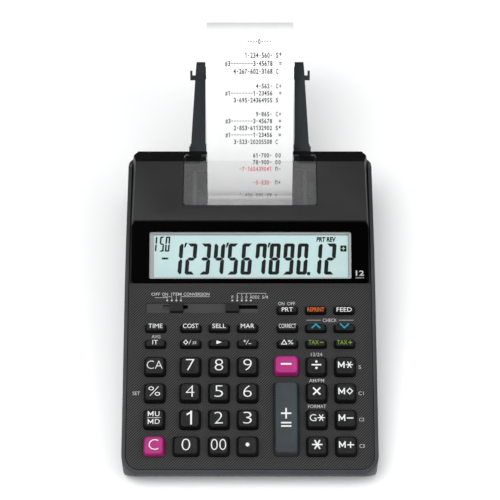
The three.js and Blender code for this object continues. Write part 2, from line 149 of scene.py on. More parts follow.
class Nodes:
    """The node tree of a material or world. An input takes a plain value or another node's output."""

    def __init__(self, owner):
        owner.use_nodes = True
        self.owner = owner
        self.tree = owner.node_tree

    def fill(self, node, inputs):
        for key, value in inputs.items():
            if isinstance(value, bpy.types.NodeSocket):
                self.tree.links.new(value, node.inputs[key])
            else:
                node.inputs[key].default_value = value

    def add(self, kind, inputs, **settings):
        node = self.tree.nodes.new("ShaderNode" + kind)
        for name, value in settings.items():
            setattr(node, name, value)
        self.fill(node, inputs)
        return node

    def where(self):
        return self.add("TexCoord", {}).outputs["Object"]

    def noise(self, scale, detail=3.0, roughness=0.55, where=None):
        vector = self.where() if where is None else where
        inputs = {"Scale": scale, "Detail": detail, "Roughness": roughness, "Vector": vector}
        return self.add("TexNoise", inputs).outputs["Fac"]

    def remap(self, value, low, high, from_low=0.3, from_high=0.7):
        inputs = {"Value": value, "From Min": from_low, "From Max": from_high, "To Min": low, "To Max": high}
        return self.add("MapRange", inputs).outputs["Result"]

    def maths(self, operation, *values):
        return self.add("Math", dict(enumerate(values)), operation=operation).outputs[0]

    def mix(self, factor, first, second):
        return self.add("Mix", {0: factor, 6: first, 7: second}, data_type="RGBA").outputs[2]

    def cloud(self, colour, scale, detail, low, high):
        """A colour that drifts between two multiples of itself."""
        drift = self.remap(self.noise(scale, detail), 0, 1)
        return self.mix(drift, scaled(colour, low), scaled(colour, high))

    def bump(self, height, strength, distance):
        inputs = {"Height": height, "Strength": strength, "Distance": distance}
        return self.add("Bump", inputs).outputs["Normal"]

    def shader(self, inputs):
        """Fills the main shader and hands back the material."""
        self.fill(self.tree.nodes["Principled BSDF"], inputs)
        return self.owner


def new_nodes(name):
    return Nodes(bpy.data.materials.new(name))


def grey(level):
    return (level, level, level)


# ---- camera, light and floor ----
# Name, place, aim, width and power of each disk lamp, in metres and watts.
LAMPS = [
    ("key_light", (-0.5, -0.35, 1.5), (0, 0.0, 0.03), 0.9, 10.0),
    ("fill_light", (0.9, -0.5, 1.2), (0, 0.0, 0.03), 0.8, 4.0),
    ("top_light", (0.1, 0.1, 1.7), (0, 0.05, 0.03), 1.0, 3.3),
]
FLOOR_HALF = 3.0


def make_camera():
    camera = add_object("camera", bpy.data.cameras.new("camera"))
    camera.location = CAMERA_PLACE
    camera.rotation_euler = (math.radians(90 - CAMERA_RISE), 0, 0)
    camera.data.lens = CAMERA_LENS
    camera.data.sensor_width = 36
    camera.data.clip_start = 0.01
    bpy.context.scene.camera = camera


def make_studio():
    """A pale sky, bright overhead and darker near the horizon and to the rear, with three soft lamps."""
    scene = bpy.context.scene
    scene.view_settings.view_transform = "Standard"
    scene.world = bpy.data.worlds.new("studio")
    nodes = Nodes(scene.world)
    around = nodes.add("TexCoord", {}).outputs["Generated"]
    split = nodes.add("SeparateXYZ", {0: around})
    height = nodes.remap(split.outputs["Z"], 0.26, 1.16, 0.0, 0.9)
    rear = nodes.remap(split.outputs["Y"], 1.0, 0.06, 0.0, 0.6)
    sky = {"Color": (0.98, 0.99, 1.0, 1.0), "Strength": nodes.maths("MULTIPLY", height, rear)}
    nodes.fill(nodes.tree.nodes["Background"], sky)
    for name, spot, target, size, power in LAMPS:
        data = bpy.data.lights.new(name, "AREA")
        data.shape = "DISK"
        data.size = size
        data.energy = power
        lamp = add_object(name, data)
        lamp.location = spot
        lamp.rotation_euler = (Vector(target) - Vector(spot)).to_track_quat("-Z", "Y").to_euler()


def make_floor():
    mesh = bpy.data.meshes.new("floor")
    corners = [(x * FLOOR_HALF, y * FLOOR_HALF, 0) for x, y in ((-1, -1), (1, -1), (1, 1), (-1, 1))]
    mesh.from_pydata(corners, [], [(0, 1, 2, 3)])
    pale = {"Base Color": (0.97, 0.97, 0.97, 1), "Roughness": 0.9, "Specular IOR Level": 0.1}
    mesh.materials.append(new_nodes("floor_paint").shader(pale))
    floor = add_object("floor", mesh)
    floor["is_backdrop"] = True


make_camera()
make_studio()
make_floor()


# ---- materials ----
def plastic(name, colour, roughness=0.45, grain=2600, bump=0.25, mottle=0.16, edge=0.0, level=0.15):
    """Moulded plastic: fine grain in the surface, faint mottling, and a painted highlight on its sharp convex
    edges.
    """
    nodes = new_nodes(name)
    base = nodes.cloud(colour, 45, 2, 1 - mottle, 1 + mottle)
    # painted highlight: edge lightens the colour where the surface is pointy, on convex edges
    if edge:
        pointiness = nodes.add("NewGeometry", {}).outputs["Pointiness"]
        base = nodes.mix(nodes.remap(pointiness, 0, edge, 0.52, 0.62), base, scaled(colour, 2.6))
    return nodes.shader({
        "Base Color": base,
        "Roughness": nodes.remap(nodes.noise(420), roughness - 0.06, roughness + 0.06),
        "Specular IOR Level": level,
        "Normal": nodes.bump(nodes.noise(grain, 2), bump, 0.00006),
    })


def ribbed_plastic(name, colour, light, period=1.28, lean=45, fade_y=0.0):
    """Plastic with fine raised ribs that climb to the right, in front of the line y = fade_y, painted lighter
    as a highlight.
    """
    nodes = new_nodes(name)
    where = nodes.where()
    turn = math.radians(lean)
    direction = Vector((math.sin(turn), 0, 0)) - PANEL.up_slope * math.cos(turn)
    phase = direction * (2 * math.pi / (period * MM))
    across = nodes.add("VectorMath", {0: where, 1: phase}, operation="DOT_PRODUCT")
    wave = nodes.maths("SINE", across.outputs["Value"])
    depth = nodes.add("SeparateXYZ", {0: where}).outputs["Y"]
    inside = nodes.remap(depth, 1, 0, fade_y - 0.0004, fade_y + 0.0002)
    rib = nodes.maths("MULTIPLY", nodes.remap(wave, 0, 1, -0.2, 1.0), inside)
    dark = nodes.cloud(colour, 60, 3, 0.86, 1.14)
    grain = nodes.maths("MULTIPLY", nodes.noise(3000, 2), 0.35)
    return nodes.shader({
        # painted highlight: the ribs take the lighter colour over the darker plastic between them
        "Base Color": nodes.mix(rib, dark, scaled(light, 1)),
        "Roughness": nodes.remap(nodes.noise(500), 0.5, 0.64),
        "Specular IOR Level": 0.15,
        "Normal": nodes.bump(nodes.maths("ADD", rib, grain), 0.6, 0.00012),
    })


def clear_plastic(name, colour, alpha, roughness, level=0.1):
    """See-through plastic that keeps a little haze, with faint waves in its surface."""
    nodes = new_nodes(name)
    return nodes.shader({
        "Base Color": nodes.cloud(colour, 70, 2, 0.92, 1.08),
        "Alpha": alpha,
        "Specular IOR Level": level,
        "Roughness": nodes.remap(nodes.noise(300, 2), roughness * 0.7, roughness * 1.3),
        "Normal": nodes.bump(nodes.noise(160, 1), 0.06, 0.0001),
    })


def metal(name, colour, roughness, stretch=(1, 1, 1)):
    """Bare metal with fine flecks, drawn out where stretch is small."""
    nodes = new_nodes(name)
    mapped = nodes.add("Mapping", {"Scale": stretch, "Vector": nodes.where()}).outputs["Vector"]
    fleck = nodes.noise(900, 2.0, 0.5, mapped)
    return nodes.shader({
        "Base Color": nodes.mix(fleck, scaled(colour, 0.85), scaled(colour, 1.1)),
        "Metallic": 1.0,
        "Roughness": nodes.remap(fleck, roughness - 0.08, roughness + 0.1),
        "Normal": nodes.bump(fleck, 0.15, 0.00005),
    })


def paper_stock(name, colour):
    """Uncoated paper: fibres in the surface and a slight mottle."""
    nodes = new_nodes(name)
    return nodes.shader({
        "Base Color": nodes.cloud(colour, 140, 4, 0.985, 1.015),
        "Roughness": nodes.remap(nodes.noise(800), 0.82, 0.95),
        "Specular IOR Level": 0.2,
        "Normal": nodes.bump(nodes.noise(2200, 4), 0.2, 0.00004),
    })


def ink(name, colour, roughness=0.55):
    """Printed ink with slightly uneven cover."""
    nodes = new_nodes(name)
    cover = nodes.remap(nodes.noise(1800), 0, 1)
    return nodes.shader({
        "Base Color": nodes.mix(cover, scaled(colour, 0.9), scaled(colour, 1.08)),
        "Roughness": nodes.remap(nodes.noise(900, 2), roughness - 0.08, roughness + 0.08),
        "Specular IOR Level": 0.1,
        "Normal": nodes.bump(cover, 0.1, 0.00002),
    })


def laminate(name):
    """Green circuit board: copper tracks in a grid under the lacquer."""
    nodes = new_nodes(name)
    bricks = nodes.add("TexBrick", {
        "Scale": 240, "Mortar Size": 0.03, "Color1": (0.02, 0.12, 0.05, 1), "Color2": (0.025, 0.16, 0.06, 1),
        "Mortar": (0.09, 0.3, 0.1, 1), "Vector": nodes.where(),
    })
    return nodes.shader({
        "Base Color": bricks.outputs["Color"],
        "Roughness": nodes.remap(nodes.noise(300, 2), 0.25, 0.4),
        "Normal": nodes.bump(bricks.outputs["Fac"], 0.3, 0.00005),
    })


RIBS_END_Y = place(0, 124.25, 0).y      # the ribbed panel stops at the display
# Where plastic() gets edge, that value sets a painted highlight on the convex edges.
LOWER_SHELL = plastic("lower_shell_paint", (0.033, 0.036, 0.038), 0.42, edge=0.35)
# the ribs' lighter colour here is a painted highlight
UPPER_SHELL = ribbed_plastic("upper_shell_paint", (0.0075, 0.0075, 0.0078), grey(0.062),
                             fade_y=RIBS_END_Y)
TROUGH = plastic("trough_paint", grey(0.04), 0.5, mottle=0.06)
COVER = plastic("cover_paint", grey(0.021), 0.5, edge=0.2, mottle=0.08)
# a darker copy of the cover's paint for its rear slope: painted shade
COVER_SLOPE_SHADE = plastic("cover_slope_painted_shade", grey(0.009), 0.6, mottle=0.08, level=0.0)
KEY_PAINTS = {
    "black": plastic("key_black_paint", (0.006, 0.006, 0.0062), 0.42, edge=0.2, bump=0.3, level=0.13),
    "pink": plastic("key_pink_paint", (0.35, 0.02, 0.16), 0.4, bump=0.2),
    "slate": plastic("key_slate_paint", (0.032, 0.039, 0.044), 0.42, edge=0.1, bump=0.2),
}
SWITCH = plastic("switch_paint", grey(0.011), edge=0.3)
SHADOW_BLACK = plastic("inside_painted_shadow", grey(0.003), 0.7, level=0.05)
HOLDER = plastic("holder_paint", (0.018, 0.0225, 0.025), 0.4, edge=0.3)
MECHANISM = plastic("mechanism_paint", (0.03, 0.034, 0.036), 0.5)
RUBBER = plastic("rubber_paint", grey(0.012), 0.8, grain=1500, bump=0.6)
MAT_RUBBER = plastic("key_mat_rubber", (0.16, 0.17, 0.18), 0.75, grain=1500, bump=0.4)
FELT = plastic("felt_paint", (0.03, 0.01, 0.08), 0.95, grain=1200, bump=1.0, mottle=0.5)
SMOKED = clear_plastic("smoked_clear", (0.6, 0.6, 0.605), 0.075, 0.2)
# near-black copy of the smoked window for its faces behind the crest: painted shade
SMOKED_SHADED = clear_plastic("smoked_painted_shade", grey(0.009), 0.72, 0.45, level=0.0)
# a hazy sheet over the paper under the window's front: painted shade
PAPER_SHADE_HAZE = clear_plastic("paper_shade_haze", (0.8, 0.79, 0.79), 0.2, 0.3)
CLEAR = clear_plastic("window_clear", (0.05, 0.055, 0.057), 0.01, 0.05, level=0.02)
GLOSS_BLACK = plastic("gloss_black", (0.0006, 0.0006, 0.0007), 0.14, 300, 0.03, mottle=0.1, level=0.003)
LCD_GREY = plastic("lcd_glass_paint", (0.45, 0.6, 0.595), 0.35, 1200, 0.05, mottle=0.03, level=0.05)
LCD_INK = ink("lcd_segment_ink", (0.0015, 0.002, 0.0025), 0.35)
SILVER = plastic("silver_frame", (0.32, 0.335, 0.34), 0.35, mottle=0.05, level=0.5)
STEEL = metal("steel", grey(0.6), 0.25, stretch=(0.1, 1, 1))
CELL_METAL = metal("cell_metal", (0.75, 0.72, 0.66), 0.3)
CELL_WRAP = plastic("cell_wrap", (0.02, 0.1, 0.05), 0.3, mottle=0.05)
CELL_BAND = plastic("cell_band", (0.5, 0.36, 0.06), 0.3, mottle=0.05)
BOARD = laminate("board_laminate_paint")
PAPER = paper_stock("paper_stock", (0.93, 0.93, 0.925))
CARDBOARD = paper_stock("cardboard_core", (0.4, 0.29, 0.18))
WHITE_INK = ink("white_ink", grey(0.72))
GREY_INK = ink("grey_ink", grey(0.46))
ORANGE_INK = ink("orange_ink", (0.52, 0.1, 0.01))
GREEN_INK = ink("green_ink", (0.16, 0.29, 0.03))
TEAL_INK = ink("teal_ink", (0.01, 0.26, 0.35))
BLACK_INK = ink("print_black", (0.018, 0.018, 0.02))
RED_INK = ink("print_red", (0.72, 0.08, 0.09))


# ---- building shapes ----
def glyph_mesh(text, bold):
    """Vertices and faces of a text as a slab from z = -1 to z = 1, a capital being about 0.7 high."""
    curve = bpy.data.curves.new("glyphs", "FONT")
    curve.body = text
    curve.size = 1
    curve.offset = bold
    curve.extrude = 1
    curve.resolution_u = 3
    holder = add_object("glyphs", curve)
    bpy.context.view_layer.update()
    ready = holder.evaluated_get(bpy.context.evaluated_depsgraph_get())
    mesh = bpy.data.meshes.new_from_object(ready)
    vertices = [tuple(v.co) for v in mesh.vertices]
    faces = [tuple(f.vertices) for f in mesh.polygons]
    bpy.data.objects.remove(holder)
    bpy.data.curves.remove(curve)
    bpy.data.meshes.remove(mesh)
    return vertices, faces


CAPITAL = max(y for _, y, _ in glyph_mesh("H", 0)[0])


def rounded_rectangle(x, y, width, length, radius, steps=6):
    """Points of a rectangle with round corners, counter-clockwise."""
    points = []
    for sx, sy, start in ((1, 1, 0), (-1, 1, 90), (-1, -1, 180), (1, -1, 270)):
        cx = x + sx * (width / 2 - radius)
        cy = y + sy * (length / 2 - radius)
        for i in range(steps + 1):
            turn = math.radians(start + 90 * i / steps)
            points.append((cx + radius * math.cos(turn), cy + radius * math.sin(turn)))
    return points


def rectangle_of(left, right, front, rear, radius, grow=0.0, steps=6):
    """A rounded rectangle between four edges, which grow moves outward."""
    width = right - left + 2 * grow
    length = rear - front + 2 * grow
    return rounded_rectangle((left + right) / 2, (front + rear) / 2, width, length, radius, steps)


def circle(x, y, radius, sides=24):
    turns = [2 * math.pi * i / sides for i in range(sides)]
    return [(x + radius * math.cos(t), y + radius * math.sin(t)) for t in turns]


class Form:
    """Vertices and faces gathered for one piece; material is an index into its materials.

    A surface is a function of (x, y, out) that gives a point in space; levels are its lowest and highest out.
    """

    def __init__(self):
        self.vertices = []
        self.faces = []
        self.materials = []

    def add(self, vertices, faces, material=0):
        start = len(self.vertices)
        self.vertices += [tuple(v) for v in vertices]
        self.faces += [[start + i for i in face] for face in faces]
        self.materials += [material] * len(faces)

    def loft(self, rings, material=0, loop=False):
        """Joins rings of equal size; open ends are capped unless the last ring meets the first."""
        size = len(rings[0])
        points = [p for ring in rings for p in ring]
        faces = []
        for r in range(len(rings) if loop else len(rings) - 1):
            low = r * size
            high = ((r + 1) % len(rings)) * size
            for i in range(size):
                j = (i + 1) % size
                faces.append((low + i, low + j, high + j, high + i))
        if not loop:
            faces.append(tuple(range(size))[::-1])
            faces.append(tuple(range(len(points) - size, len(points))))
        self.add(points, faces, material)

    def stack(self, sections, surface, material=0, loop=False):
        """Joins (outline, level) sections, each an outline of (x, y) points at a level of the surface."""
        rings = [[surface(x, y, level) for x, y in outline] for outline, level in sections]
        self.loft(rings, material, loop)

    def prism(self, outline, surface, levels, material=0):
        self.stack([(outline, level) for level in levels], surface, material)

    def lathe(self, profile, surface, material=0, sides=32, loop=False):
        """A (radius, height) profile turned about the surface's third axis; a loop makes it a hollow ring."""
        sections = [(circle(0, 0, radius, sides), height) for radius, height in profile]
        self.stack(sections, surface, material, loop)

    def stroke(self, points, width, surface, levels, material=0):
        """A line of even width through (x, y) points, with square ends."""
        for (xa, ya), (xb, yb) in zip(points, points[1:]):
            length = math.hypot(xb - xa, yb - ya)
            ux = (xb - xa) / length * width / 2
            uy = (yb - ya) / length * width / 2
            outline = [
                (xa - ux + uy, ya - uy - ux), (xb + ux + uy, yb + uy - ux),
                (xb + ux - uy, yb + uy + ux), (xa - ux - uy, ya - uy + ux),
            ]
            self.prism(outline, surface, levels, material)

    def write(self, text, x, y, height, width, surface, levels, material=0, bold=0.02, lean=0.0):
        """Text with its capitals centred on (x, y); width is that of the whole text."""
        vertices, faces = glyph_mesh(text, bold)
        left, right = extent(vertices)[0]
        middle = (left + right) / 2
        points = []
        for a, b, c in vertices:
            up = b * height / CAPITAL - height / 2
            aside = (a - middle) * width / (right - left) + lean * up
            points.append(surface(x + aside, y + up, levels[1] if c > 0 else levels[0]))
        self.add(points, faces, material)

    def piece(self, name, paints, body=None, smooth=38, bevel=0.0, node=None):
        """Makes the Blender object, rounds its edges and seats it on its body, if it has one."""
        mesh = bpy.data.meshes.new(name)
        mesh.from_pydata(self.vertices, [], self.faces)
        for paint in paints:
            mesh.materials.append(paint)
        mesh.polygons.foreach_set("material_index", self.materials)
        mesh.validate()
        work = bmesh.new()
        work.from_mesh(mesh)
        bmesh.ops.remove_doubles(work, verts=work.verts, dist=1e-7)
        bmesh.ops.recalc_face_normals(work, faces=work.faces)
        work.to_mesh(mesh)
        work.free()
        mesh.shade_smooth()
        mesh.set_sharp_from_angle(angle=math.radians(smooth))
        made = add_object(name, mesh)
        if bevel:
            round_edges(made, bevel)
        if body:
            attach(made, body)
        if node:
            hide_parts(node)
        return made


def round_edges(thing, width, segments=2, angle=32):
    """Small radii on the sharp edges, in millimetres, with normals that keep flat faces flat."""
    bevel = thing.modifiers.new("rounding", "BEVEL")
    bevel.width = width * MM
    bevel.segments = segments
    bevel.limit_method = "ANGLE"
    bevel.angle_limit = math.radians(angle)
    bevel.harden_normals = True
    bevel.use_clamp_overlap = True


def dress(node, paint, width, segments=2, angle=32, shade_paint=None, smooth=True):
    """A carried-over CAD node: joined corners, rounded edges and its own material; a second, darker material,
    if given, paints shade on its faces that face up and to the rear.
    """
    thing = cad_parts[node]
    thing.data.materials.clear()
    thing.data.materials.append(paint)
    if shade_paint:
        thing.data.materials.append(shade_paint)
        # painted shade: faces turned up and to the rear take the darker second material
        for polygon in thing.data.polygons:
            polygon.material_index = 1 if polygon.normal.y > 0.3 and polygon.normal.z > 0 else 0
    weld = thing.modifiers.new("weld", "WELD")
    weld.merge_threshold = 0.00002
    flat = thing.modifiers.new("flat_faces", "DECIMATE")
    flat.decimate_type = "DISSOLVE"
    flat.angle_limit = math.radians(1.0)
    round_edges(thing, width, segments, angle)
    for polygon in thing.data.polygons:
        polygon.use_smooth = smooth


# ---- key legends ----
# A mark is a word, a line of even width, or a filled outline, about the middle of its key's top.
WHITE, ORANGE, GREEN, TEAL = 1, 2, 3, 4     # the inks' places in a key's materials
INK = (-0.05, 0.03)             # levels of a legend on its key's top


def word(text, height, width, x=0.0, y=0.0, bold=0.02):
    return ("word", text, x, y, height, width, bold)


def line(points, width):
    return ("line", points, width)


def bar(x0, y0, x1, y1, width):
    return line([(x0, y0), (x1, y1)], width)


def filled(outline):
    return ("filled", outline)


def dot(x, y, radius):
    return filled(circle(x, y, radius, 20))


def minus(x, y, reach, width):
    return bar(x - reach, y, x + reach, y, width)


def plus(x, y, reach, rise, width):
    return [minus(x, y, reach, width), bar(x, y - rise, x, y + rise, width)]


def star(x, y, radius, width):
    marks = []
    for turn in (0, 60, 120):
        dx = radius * math.cos(math.radians(turn))
        dy = radius * math.sin(math.radians(turn))
        marks.append(bar(x - dx, y - dy, x + dx, y + dy, width))
    return marks


def diamond(x, y, half_width, half_height, width):
    points = [(x - half_width, y), (x, y + half_height), (x + half_width, y), (x, y - half_height)]
    return [line(points + points[:1], width)]


def caret(direction, width):
    tip = 1.25 * direction
    return [line([(-2.5, -tip), (0, tip), (2.5, -tip)], width)]


def letter_m(x, y=0.0, height=4.2, width=4.3, stroke=0.78):
    """An M in even strokes with round joints, which a bold font would clog."""
    h = (height - stroke) / 2
    w = (width - stroke) / 2
    points = [(x - w, y - h), (x - w, y + h), (x, y - h * 0.55), (x + w, y + h), (x + w, y - h)]
    return [line(points, stroke)] + [dot(a, b, stroke / 2) for a, b in points[1:4]]


def draw_marks(form, marks, surface, levels, material):
    for kind, shape, *sizes in marks:
        if kind == "word":
            *layout, bold = sizes
            form.write(shape, *layout, surface, levels, material, bold)
        elif kind == "line":
            form.stroke(shape, *sizes, surface, levels, material)
        else:
            form.prism(shape, surface, levels, material)


LEGENDS = {
    "clear": [word("C", 7.0, 6.3, bold=-0.016)],
    "clear_all": [word("CA", 5.6, 10.2, bold=-0.018)],
    "double_zero": [word("00", 7.4, 9.8, bold=-0.016)],
    "0": [word("0", 7.9, 5.6, bold=-0.018)],
    "1": [bar(0.9, -3.95, 0.9, 3.95, 1.15), bar(-1.5, 2.3, 0.8, 3.6, 1.05)],
    "point": [dot(0, 0, 1.25)],
    "percent": [word("%", 6.2, 7.6, bold=-0.012)],
    "mark_up_down": [
        *letter_m(-2.1, 2.6, 3.2, 3.6, 0.6), *letter_m(-2.1, -2.5, 3.2, 3.6, 0.6),
        word("U", 3.2, 2.9, 2.1, 2.6, 0.0), word("D", 3.2, 3.1, 2.2, -2.5, 0.0), minus(0, 0, 4.2, 0.22),
    ],
    "divide": [minus(0, 0, 2.7, 0.95), dot(0, 2.1, 0.8), dot(0, -2.1, 0.8)],
    "times": [bar(-2.0, -2.0, 2.0, 2.0, 0.95), bar(-2.0, 2.0, 2.0, -2.0, 0.95)],
    "minus": [minus(0, 0, 2.9, 1.1)],
    "plus_equals": [*plus(0, 2.2, 2.8, 3.0, 1.0), minus(0, -4.0, 2.8, 1.0), minus(0, -6.2, 2.8, 1.0)],
    "total": star(0, 0, 2.9, 0.9),
    "grand_total": [word("G", 4.5, 4.3, -2.5, bold=-0.006), *star(2.7, 0, 2.1, 0.6)],
    "memory_total": [*letter_m(-2.5), *star(2.7, 0, 2.1, 0.6)],
    "memory_subtotal": [*letter_m(-2.5), *diamond(2.7, 0, 1.8, 1.9, 0.62)],
    "memory_minus": [*letter_m(-2.6), minus(2.7, -0.2, 1.8, 0.72)],
    "memory_plus": [*letter_m(-2.6), *plus(2.7, -0.2, 1.8, 1.7, 0.72)],
    "correct": [word("CORRECT", 2.8, 11.2, bold=-0.005)],
    "check_up": caret(1, 0.95),
    "check_down": caret(-1, 0.95),
    "reprint": [word("REPRINT", 2.7, 11.0, bold=0.015)],
    "non_add": [
        *diamond(-3.1, 0, 1.35, 1.45, 0.45), word("/", 2.9, 1.7, -0.4, bold=-0.01),
        word("#", 2.7, 2.8, 2.6, bold=-0.02),
    ],
    "right_shift": [filled([(-1.7, -1.25), (1.9, 0), (-1.7, 1.25)])],
    "sign": [
        *plus(-1.8, 0.8, 0.7, 0.7, 0.34), bar(-0.9, -1.4, 0.6, 1.4, 0.3), minus(1.55, -1.0, 0.75, 0.34),
    ],
    "delta_percent": [
        line([(-3.9, -1.3), (-2.2, 1.5), (-0.5, -1.3), (-3.9, -1.3)], 0.5),
        word("%", 2.8, 3.6, 2.0, bold=0.0),
    ],
    "tax_minus": [word("TAX", 2.9, 6.7, -1.6, bold=0.0), minus(3.55, -0.1, 0.95, 0.5)],
    "tax_plus": [word("TAX", 2.9, 6.7, -1.6, bold=0.0), *plus(3.6, -0.1, 1.0, 1.0, 0.5)],
}
for digit in "23456789":
    LEGENDS[digit] = [word(digit, 7.9, 5.5, bold=-0.018)]
for key, text, width in [
        ("time", "TIME", 9.2), ("cost", "COST", 10.1), ("sell", "SELL", 8.8), ("margin", "MAR", 8.8),
        ("print", "PRT", 7.2), ("feed", "FEED", 9.9), ("items", "IT", 3.6)]:
    LEGENDS[key] = [word(text, 2.9, width, bold=0.0)]
LEGEND_INKS = {
    "check_up": TEAL, "check_down": TEAL, "reprint": ORANGE, "tax_minus": GREEN,
    "tax_plus": GREEN,
}

# ---- keys ----
KEYS = sorted(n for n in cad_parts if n.startswith("key_"))
KEY_SHADES = {"clear": "pink", "minus": "pink", "plus_equals": "slate"}
# How far a cap stands inside its CAD envelope, at its foot and at the edges of its top, and its roundings.
TALL_CAP = {
    "left": 0.2, "right": 0.9, "front": 1.0, "rear": 0.7, "lid_front": -0.9, "lid_rear": 0.9,
    "foot_radius": 2.2, "rim_radius": 2.4, "fillet": 0.75, "dish": 0.22,
}
LOW_CAP = {
    "left": 0.2, "right": 0.9, "front": 0.5, "rear": 0.9, "lid_front": -0.1, "lid_rear": 0.8,
    "foot_radius": 1.6, "rim_radius": 1.6, "fillet": 0.5625, "dish": 0.055,
}
WIDE_CAP = {"left": 0.0, "right": 0.4, "front": 0.5, "rear": 0.5, "lid_rear": 0.5}
OWN_CAPS = {"0": {"right": 1.7}, "minus": WIDE_CAP, "plus_equals": WIDE_CAP}
TALL_FROM = 5.0                 # keys that rise further than this are tall
KEY_FLARE = 0.12                # how far the sides pull in between foot and top
KEY_WAIST = 1.0                 # height at which the sides start to taper
KEY_STEPS = 5
LEGEND_LEFT = 0.4               # legends stand a little left of the middle of their key's top
TALL_LEGEND_BACK = -0.5         # and this far behind it
LOW_LEGEND_BACK = {1: 0.0, 2: 0.35, 3: -0.8}    # by row, from the front
LOW_ROWS_FRONT = 70.0           # one pitch before the first row of low keys
LOW_ROW_PITCH = 12.0
KEY_FEET = {}


def cap_shape(node):
    """A cap's foot and rim as (x, s, width, length, radius), its heights, cap values and legend's place."""
    name = node.removeprefix("key_")
    points = panel_points(node)
    (left, right), (front, rear), heights = extent(points)
    (lid_left, lid_right), (lid_front, lid_rear), _ = extent(p for p in points if p[2] > heights[1] - 0.2)
    tall = heights[1] > TALL_FROM
    cap = {**(TALL_CAP if tall else LOW_CAP), **OWN_CAPS.get(name, {})}

    def trimmed(left, right, front, rear, radius):
        left, right = left + cap["left"], right - cap["right"]
        return (left + right) / 2, (front + rear) / 2, right - left, rear - front, radius

    foot = trimmed(left, right, front + cap["front"], rear - cap["rear"], cap["foot_radius"])
    rim = trimmed(lid_left, lid_right, lid_front + cap["lid_front"], lid_rear - cap["lid_rear"],
                  cap["rim_radius"])
    row = round((front - LOW_ROWS_FRONT) / LOW_ROW_PITCH)
    back = TALL_LEGEND_BACK if tall else LOW_LEGEND_BACK[row]
    middle = rim[0] if name == "0" else (lid_left + lid_right) / 2 - LEGEND_LEFT
    return foot, rim, heights, cap, (middle, (lid_front + lid_rear) / 2 + back)


def make_key(node):
    """A keycap with tapered sides, a soft rim and a dished top, and its legend in ink."""
    foot, rim, (bottom, top), cap, legend_place = cap_shape(node)
    KEY_FEET[node] = foot
    fillet, dish = cap["fillet"], cap["dish"]
    shoulder = top - fillet

    def ring(blend, inset, level):
        x, s, width, length, radius = (a + (b - a) * blend for a, b in zip(foot, rim))
        corner = max(radius - inset * 0.6, 0.4)
        outline = rounded_rectangle(x, s, width - 2 * inset, length - 2 * inset, corner, 8)
        return [PANEL.at(a, b, level) for a, b in outline]

    rings = [ring(0, 0.5, bottom), ring(0, 0, bottom + 0.5), ring(0, 0, KEY_WAIST)]
    for i in range(1, KEY_STEPS + 1):
        rise = (shoulder - KEY_WAIST) * i / KEY_STEPS
        pull = KEY_FLARE * math.sin(math.pi * i / KEY_STEPS)
        rings.append(ring(rise / (top - KEY_WAIST), pull, KEY_WAIST + rise))
    for i in range(1, KEY_STEPS + 1):
        turn = math.radians(90 * i / KEY_STEPS)
        rings.append(ring(1, fillet * (1 - math.cos(turn)), shoulder + fillet * math.sin(turn)))
    half_width = rim[2] / 2 - fillet
    half_length = rim[3] / 2 - fillet
    reach = min(half_width, half_length)
    for share in (0.82, 0.6, 0.35):
        rings.append(ring(1, fillet + reach * (1 - share), top - dish * (1 - share * share)))

    def dished_top(a, b, level):
        inward = min(half_width - abs(a - rim[0]), half_length - abs(b - rim[1]))
        share = 1 - max(inward, 0) / reach
        return PANEL.at(a, b, top - dish * (1 - share * share) + level)

    name = node.removeprefix("key_")
    shade = KEY_SHADES.get(name, "black")
    form = Form()
    form.loft(rings)
    draw_marks(form, LEGENDS[name], shifted(dished_top, *legend_place), INK, LEGEND_INKS.get(name, WHITE))
    form.piece(node + "_cap", [KEY_PAINTS[shade], WHITE_INK, ORANGE_INK, GREEN_INK, TEAL_INK], node,
               smooth=50, node=node)


for key in KEYS:
    make_key(key)


# ---- case ----
for node, paint, radius in [
        ("lower_case", LOWER_SHELL, 0.5), ("upper_case", UPPER_SHELL, 0.3), ("printer_frame", MECHANISM, 0.3),
        ("circuit_board", BOARD, 0.15), ("feed_roller", RUBBER, 0.3), ("ink_roller", FELT, 0.5)]:
    dress(node, paint, radius)
# the cover's rear slope wears painted shade
dress("printer_cover", COVER, 0.9, 3, 24, COVER_SLOPE_SHADE)
dress("battery_door", LOWER_SHELL, 0.3, smooth=False)
for arm in ("roll_arm_left", "roll_arm_right"):
    dress(arm, HOLDER, 0.9, 3, 25)

TROUGH_FLOOR = (-68.1, 5.5, 107.2, 113.8)       # left, right, front, rear on the panel
SLOTS = (-57.15, -40.75, -14.55, 5.05)          # left and right ends of the two slots in it
SLOT_ROW = (110.05, 112.75)                     # their front and rear
STEM_S = sum(SLOT_ROW) / 2
WELL_MARGIN = 0.75                              # panel opening around a key's CAD envelope
WELL_GAP = 0.6                                  # opening left around the cap
PRINT = (-0.02, 0.045)                          # levels of the printing on the panel


def make_trough():
    """The smooth floor of the slide switches' recess, in strips around the two slots."""
    left, right, front, rear = TROUGH_FLOOR
    edges = [left, *SLOTS, right]
    strips = [(left, right, front, SLOT_ROW[0]), (left, right, SLOT_ROW[1], rear)]
    strips += [(a, b, *SLOT_ROW) for a, b in zip(edges[::2], edges[1::2])]
    form = Form()
    for x0, x1, s0, s1 in strips:
        form.prism([(x0, s0), (x1, s0), (x1, s1), (x0, s1)], PANEL.at, (-1.08, -0.94))
    form.piece("switch_trough", [TROUGH], "case")


def make_key_wells():
    """Round-cornered collars that narrow the panel's key openings to the caps."""
    form = Form()
    for node, (x, s, width, length, radius) in KEY_FEET.items():
        (left, right), (front, rear), _ = extent(panel_points(node))
        outer = rectangle_of(left, right, front, rear, 0.5, WELL_MARGIN)
        inner = rounded_rectangle(x, s, width + WELL_GAP, length + WELL_GAP, radius + 0.2)
        sections = [(outer, -1.2), (outer, -0.03), (inner, -0.03), (inner, -1.2)]
        form.stack(sections, PANEL.at, loop=True)
    form.piece("key_wells", [UPPER_SHELL], "case")


